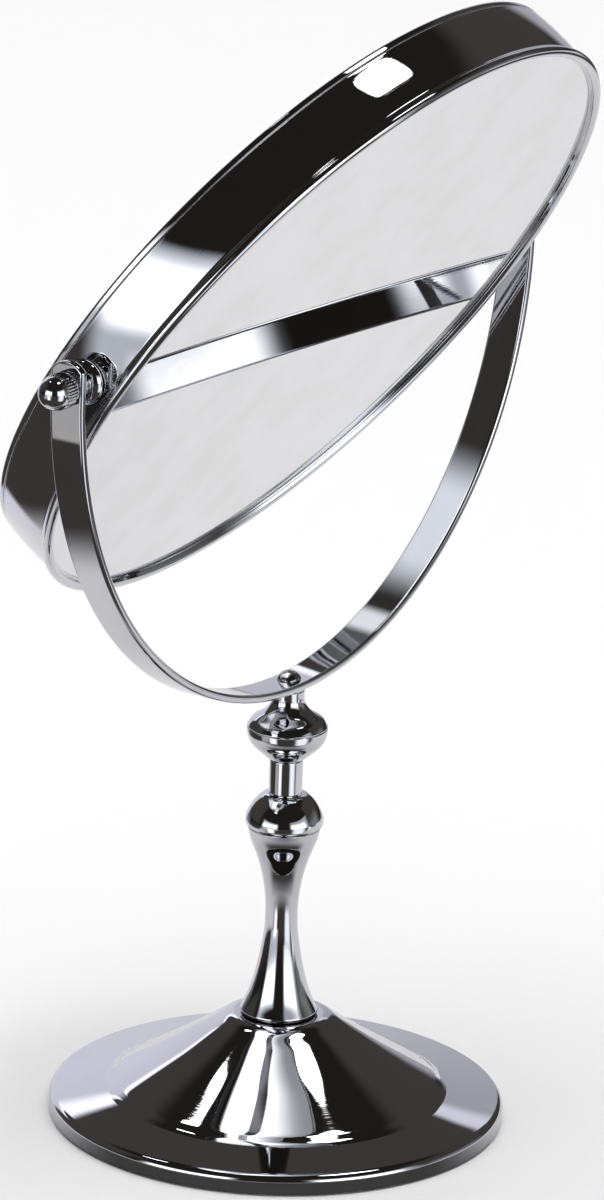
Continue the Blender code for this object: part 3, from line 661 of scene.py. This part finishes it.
def silvered(name):
    """Silvered glass: a cool mirror whose tone and sharpness vary a little, in clouds."""
    material, tree, shader = new_material(name)
    x, y, _ = local_point(tree, HEAD)
    own = node(tree, "ShaderNodeCombineXYZ")
    tree.links.new(x, own.inputs["X"])
    tree.links.new(y, own.inputs["Y"])
    cloud = node(tree, "ShaderNodeTexNoise", inputs={"Scale": 42.0, "Detail": 6.0,
                                                     "Roughness": 0.62})
    tree.links.new(own.outputs[0], cloud.inputs["Vector"])
    tone = node(tree, "ShaderNodeMix", data_type="RGBA")
    tone.inputs[6].default_value = (0.76, 0.765, 0.765, 1.0)
    tone.inputs[7].default_value = (0.81, 0.81, 0.815, 1.0)
    tree.links.new(fade(tree, cloud.outputs["Fac"], 0.35, 0.6), tone.inputs[0])
    tree.links.new(tone.outputs[2], shader.inputs["Base Color"])
    tree.links.new(fade(tree, cloud.outputs["Fac"], 0.38, 0.62, 0.02, 0.0),
                   shader.inputs["Roughness"])
    shader.inputs["Metallic"].default_value = 1.0
    return material


mirror = silvered("silvered_glass")
FLAT_BACK, ARRIS = GLASS_FACE - 3.0 * MM, 0.25 * MM
flat_glass = eased((0.0, GLASS_FACE, 0.0), (GLASS_R, GLASS_FACE, ARRIS),
                   (GLASS_R, FLAT_BACK, ARRIS), (0.0, FLAT_BACK, 0.0))
finish(turned("flat_mirror", flat_glass, 192, HEAD), "mirror_head", "mirror", mirror,
       "plain_glass")
DISH_EDGE, DISH_RISE, DISH_THICK = -8.6 * MM, 3.4 * MM, 2.4 * MM
dish_r = np.linspace(0.0, GLASS_R, 41)
dish = np.stack([dish_r, DISH_EDGE + DISH_RISE * (1 - (dish_r / GLASS_R) ** 2)], axis=1)
dish_upper = dish + np.array([0.0, DISH_THICK])
finish(turned("dished_mirror", np.vstack([dish_upper, dish[::-1]]), 192, HEAD),
       "mirror_head", "mirror", mirror, "magnifying_glass")
foam = grainy("pale_foam", (0.66, 0.66, 0.63), 900.0, 0.9, 0.0006)
dressed(foam, "foam_backing")


# --- pivots -------------------------------------------------------------------------------
# On each side a steel stud is nutted inside the rim and comes out through a domed boss, a
# round bead and a nylon washer, through the yoke's arm and into a knurled thumb nut.
PIVOT_BORE_R, STUD_R, STUD_IN, STUD_OUT = 2.3 * MM, 2.0 * MM, 95.9 * MM, 114.2 * MM
BOSS_SEAT, BOSS_R, BOSS_HEIGHT = 101.5 * MM, 6.3 * MM, 2.6 * MM
BEAD_MIDDLE, BEAD_HALF, BEAD_RING_R = 105.4 * MM, 1.1 * MM, 3.0 * MM
NUT_SEAT, NUT_BLIND_END, KNURL_END = 109.9 * MM, 114.5 * MM, 114.5 * MM
NUT_R, NUT_FOOT_R, NUT_DOME_R = 4.9 * MM, 4.75 * MM, 4.6 * MM
FLUTES, FLUTE_DEPTH = 36, 0.28 * MM
for side, outward in (("left", -1.0), ("right", 1.0)):
    pivot = (np.array([[0.0, 0.0, outward], [0.0, 1.0, 0.0], [-outward, 0.0, 0.0]]),
             np.array([0.0, 0.0, PIVOT_Z]))
    pivot_chrome = chrome(side + "_pivot_chrome", stand=pivot, lathe=0.3)
    quarter = np.linspace(0.5 * np.pi, 0.0, 18)
    boss_dome = np.stack([PIVOT_BORE_R + (BOSS_R - PIVOT_BORE_R) * np.cos(quarter),
                          BOSS_SEAT + BOSS_HEIGHT * np.sin(quarter)], axis=1)
    boss = turned(side + "_turned_boss", np.vstack([boss_dome, [(PIVOT_BORE_R, BOSS_SEAT)]]),
                  80, pivot)
    finish(boss, "mirror_head", "chrome", pivot_chrome, side + "_boss")
    bead_round = arc((BEAD_RING_R, BEAD_MIDDLE), BEAD_HALF, 90.0, -90.0, 16)
    bead_bore = [(PIVOT_BORE_R, BEAD_MIDDLE - BEAD_HALF), (PIVOT_BORE_R, BEAD_MIDDLE + BEAD_HALF)]
    finish(turned(side + "_round_bead", np.vstack([bead_round, bead_bore]), 64, pivot),
           "mirror_head", "chrome", pivot_chrome, side + "_bead")
    stud = eased((0.0, STUD_OUT, 0.0), (STUD_R, STUD_OUT, 0.4 * MM), (STUD_R, STUD_IN, 0.4 * MM),
                 (0.0, STUD_IN, 0.0))
    finish(turned(side + "_steel_stud", stud, 40, pivot), "mirror_head", "steel", bright_zinc,
           side + "_stud")
    dressed(machined_brass, side + "_stud_nut")

    nut_dome = arc((0.0, KNURL_END), NUT_DOME_R, 90.0, 4.0, 14)
    nut_dome[0, 0] = 0.0
    skirt_z = np.linspace(KNURL_END - 0.3 * MM, NUT_SEAT + 0.9 * MM, 9)
    skirt = np.stack([np.full(len(skirt_z), NUT_R), skirt_z], axis=1)
    foot = eased((NUT_FOOT_R, NUT_SEAT + 0.75 * MM, 0.0), (NUT_FOOT_R, NUT_SEAT, 0.25 * MM),
                 (PIVOT_BORE_R, NUT_SEAT, 0.0), (PIVOT_BORE_R, NUT_BLIND_END, 0.0),
                 (0.0, NUT_BLIND_END, 0.0))
    nut_profile = np.vstack([nut_dome, skirt, foot])
    knurled = np.zeros(len(nut_profile))
    knurled[len(nut_dome):len(nut_dome) + len(skirt)] = 1.0
    finish(turned(side + "_knurled_nut", nut_profile, 216, pivot, (FLUTES, FLUTE_DEPTH, knurled)),
           side + "_nut", "chrome", pivot_chrome, side + "_thumb_nut")
